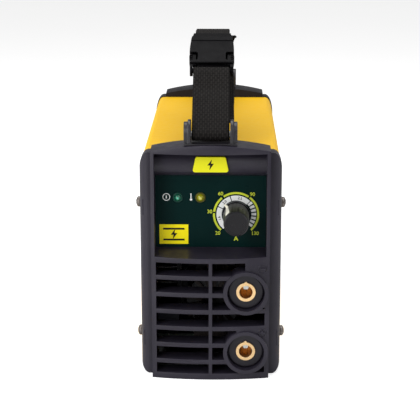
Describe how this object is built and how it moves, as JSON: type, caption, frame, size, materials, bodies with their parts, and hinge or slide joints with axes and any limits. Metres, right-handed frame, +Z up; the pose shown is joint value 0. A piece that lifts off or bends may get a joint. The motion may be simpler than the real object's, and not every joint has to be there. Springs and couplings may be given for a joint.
{
  "type": "stick welder",
  "caption": "Portable stick welder with a current knob, indicator lamps, welding lead sockets, a rear power switch, a cooling fan, a mains lead and a webbing carrying strap",
  "frame": {"origin": "On the ground under the middle of the case, at the middle of the pressed pan in the base tray.", "axes": "+Z is up, -Y is the front with the controls and the sockets, +Y runs to the rear with the fan and the mains lead, and +X is to the right seen from the front."},
  "size_m": [0.1044, 0.3994, 0.2264],
  "materials": {
    "black_plastic": "textured moulded ABS",
    "yellow_paint": "smooth satin powder coat on folded steel",
    "tray_steel": "zinc plated sheet",
    "screw_steel": "nickel plated",
    "label_film": "printed polyester film",
    "badge_yellow": "glossy moulded plate",
    "lamp_holder": "polished ring",
    "lamp_green": "tinted epoxy lens",
    "lamp_yellow": "tinted epoxy lens",
    "knob_plastic": "satin moulded",
    "pointer_cream": "satin moulded",
    "shaft_metal": "turned",
    "component_plastic": "moulded epoxy package",
    "circuit_board": "solder mask over glass epoxy",
    "socket_plastic": "moulded glass filled nylon",
    "brass": "turned",
    "copper": "bare copper strip and enamelled copper wire",
    "heatsink_aluminium": "extruded",
    "capacitor_sleeve": "shrink sleeve",
    "ferrite": "sintered ferrite",
    "relay_blue": "moulded",
    "switch_plastic": "moulded",
    "rocker_red": "moulded",
    "fan_plastic": "moulded",
    "fan_screw_steel": "blackened",
    "gland_nylon": "moulded nylon",
    "cable_rubber": "extruded rubber sheath",
    "plug_plastic": "moulded on",
    "pin_plating": "nickel plated",
    "bracket_plastic": "moulded nylon",
    "bar_steel": "plain steel bar",
    "webbing": "woven polypropylene webbing",
    "buckle_plastic": "moulded acetal"
  },
  "bodies": {
    "root": {"front_bezel": "black_plastic", "rear_bezel": "black_plastic", "top_cover": "yellow_paint", "base_tray": "tray_steel", "case_screws_front": "screw_steel", "case_screws_rear": "screw_steel", "tray_screws": "screw_steel", "control_label": "label_film", "badge_plate": "badge_yellow", "led_holders": "lamp_holder", "led_power": "lamp_green", "led_thermal": "lamp_yellow", "pot_body": "component_plastic", "pot_nut": "screw_steel", "control_board": "circuit_board", "negative_socket_body": "socket_plastic", "positive_socket_body": "socket_plastic", "negative_socket_contact": "brass", "positive_socket_contact": "brass", "socket_ring_nuts": "socket_plastic", "socket_stud_nuts": "screw_steel", "output_busbars": "copper", "power_board": "circuit_board", "board_standoffs": "tray_steel", "heatsink_left": "heatsink_aluminium", "heatsink_right": "heatsink_aluminium", "igbts": "component_plastic", "output_diodes": "component_plastic", "bridge_rectifier": "component_plastic", "bus_capacitors": "capacitor_sleeve", "transformer_core": "ferrite", "transformer_winding": "copper", "choke_core": "ferrite", "choke_winding": "copper", "soft_start_relay": "relay_blue", "switch_body": "switch_plastic", "fan_frame": "fan_plastic", "fan_screws": "fan_screw_steel", "cable_gland": "gland_nylon", "gland_nut": "gland_nylon", "mains_cable": "cable_rubber", "cable_tie": "gland_nylon", "mains_plug": "plug_plastic", "plug_pins": "pin_plating", "front_strap_bracket": "bracket_plastic", "rear_strap_bracket": "bracket_plastic", "strap_pins": "bar_steel", "rear_strand": "webbing"},
    "current_knob": {"knob_body": "knob_plastic", "knob_pointer": "pointer_cream", "pot_shaft": "shaft_metal"},
    "rocker": {"switch_rocker": "rocker_red"},
    "fan": {"fan_rotor": "fan_plastic"},
    "strap": {"front_strand": "webbing", "strap_tail": "webbing", "buckle_male": "buckle_plastic", "buckle_female": "buckle_plastic"},
    "prong_right": {"buckle_prong_right": "buckle_plastic"},
    "prong_left": {"buckle_prong_left": "buckle_plastic"}
  },
  "joints": [
    {"name": "knob_turn", "type": "hinge", "parent": "root", "child": "current_knob", "pos_m": [0.0172, -0.11, 0.1132], "axis": [0, 1, 0], "range_deg": [-91, 180]},
    {"name": "switch_tilt", "type": "hinge", "parent": "root", "child": "rocker", "pos_m": [-0.019, 0.104, 0.122], "axis": [1, 0, 0], "range_deg": [-20, 0]},
    {"name": "fan_spin", "type": "hinge", "parent": "root", "child": "fan", "pos_m": [0, 0.094, 0.0455], "axis": [0, 1, 0], "continuous": true},
    {"name": "strap_fold", "type": "hinge", "parent": "root", "child": "strap", "pos_m": [0, -0.114, 0.17], "axis": [1, 0, 0], "range_deg": [-34, 0], "deforming": ["rear_strand", "strap_tail"]},
    {"name": "prong_right_press", "type": "hinge", "parent": "strap", "child": "prong_right", "pos_m": [0.01175, -0.0691, 0.20688], "axis": [0, -0.3746, 0.9272], "range_deg": [0, 7], "stiffness_Nm_per_rad": 2},
    {"name": "prong_left_press", "type": "hinge", "parent": "strap", "child": "prong_left", "pos_m": [-0.01175, -0.0691, 0.20688], "axis": [0, -0.3746, 0.9272], "range_deg": [-7, 0], "stiffness_Nm_per_rad": 2}
  ],
  "couplings": [
    {"joint": "prong_left_press", "follows": "prong_right_press", "ratio": -1}
  ]
}
